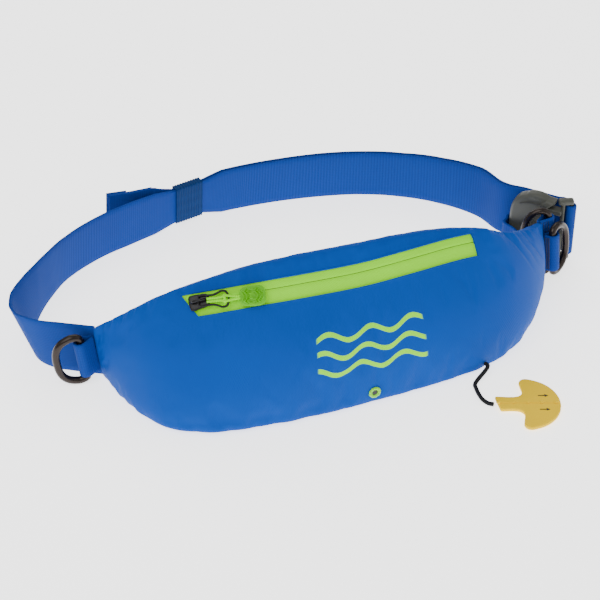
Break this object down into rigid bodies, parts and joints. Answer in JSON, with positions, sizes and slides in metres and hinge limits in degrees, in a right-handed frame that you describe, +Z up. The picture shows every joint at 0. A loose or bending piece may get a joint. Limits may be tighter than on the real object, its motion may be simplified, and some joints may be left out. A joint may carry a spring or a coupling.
{
  "type": "inflatable belt pack",
  "caption": "Hollow crescent belt pouch with a slanted zip on a closed loop of webbing, with keeper, side-release buckle, D rings and a jerk cord with a flat pull handle.",
  "frame": {"origin": "on the table under the middle of everything but the jerk cord and its handle", "axes": "+Z up off the table, -Y the way the pouch's front faces, +X along the pouch to the buckle's end"},
  "size_m": [0.3888, 0.2969, 0.0958],
  "materials": {
    "cloth": "coated nylon, satin",
    "air_cell": "coated film",
    "lime_tape": "woven tape",
    "lime_metal": "painted",
    "slider_metal": "gloss",
    "pull_rubber": "matt",
    "webbing": "woven",
    "elastic": "ribbed",
    "ring_metal": "dark bronze",
    "buckle_plastic": "moulded",
    "cord": "braided",
    "handle_plastic": "moulded"
  },
  "bodies": {
    "belt_pack": {"pouch_cover": "cloth", "packed_air_cell": "air_cell", "zip_tape_upper": "lime_tape", "zip_tape_lower": "lime_tape", "zip_slider": "slider_metal", "drain_eyelet": "lime_metal", "waist_strap": "webbing", "strap_keeper": "elastic", "left_ring_tab": "webbing", "right_ring_tab": "webbing", "right_wide_tab": "webbing", "buckle_female": "buckle_plastic", "buckle_male": "buckle_plastic", "buckle_webbing": "webbing", "jerk_cord": "cord", "jerk_handle": "handle_plastic"},
    "left_ring": {"left_d_ring": "ring_metal"},
    "right_ring": {"right_d_ring": "ring_metal"},
    "wide_ring": {"right_wide_ring": "ring_metal"},
    "zip_puller": {"zip_puller_loop": "slider_metal", "zip_pull_tab": "pull_rubber"}
  },
  "joints": [
    {"name": "left_ring_swing", "type": "hinge", "parent": "belt_pack", "child": "left_ring", "pos_m": [-0.15897, -0.03101, 0.02038], "axis": [-0.103, 0.022, 0.9944], "range_deg": [-42, 85]},
    {"name": "right_ring_swing", "type": "hinge", "parent": "belt_pack", "child": "right_ring", "pos_m": [0.16832, -0.04257, 0.02567], "axis": [-0.024, 0.126, 0.9917], "range_deg": [-85, 7]},
    {"name": "wide_ring_swing", "type": "hinge", "parent": "belt_pack", "child": "wide_ring", "pos_m": [0.16972, -0.03245, 0.02679], "axis": [-0.024, 0.126, 0.9917], "range_deg": [-50, 25]},
    {"name": "zip_puller_lift", "type": "hinge", "parent": "belt_pack", "child": "zip_puller", "pos_m": [-0.09447, -0.07508, 0.07998], "axis": [-0.178, -0.729, -0.661], "range_deg": [0, 150]}
  ]
}
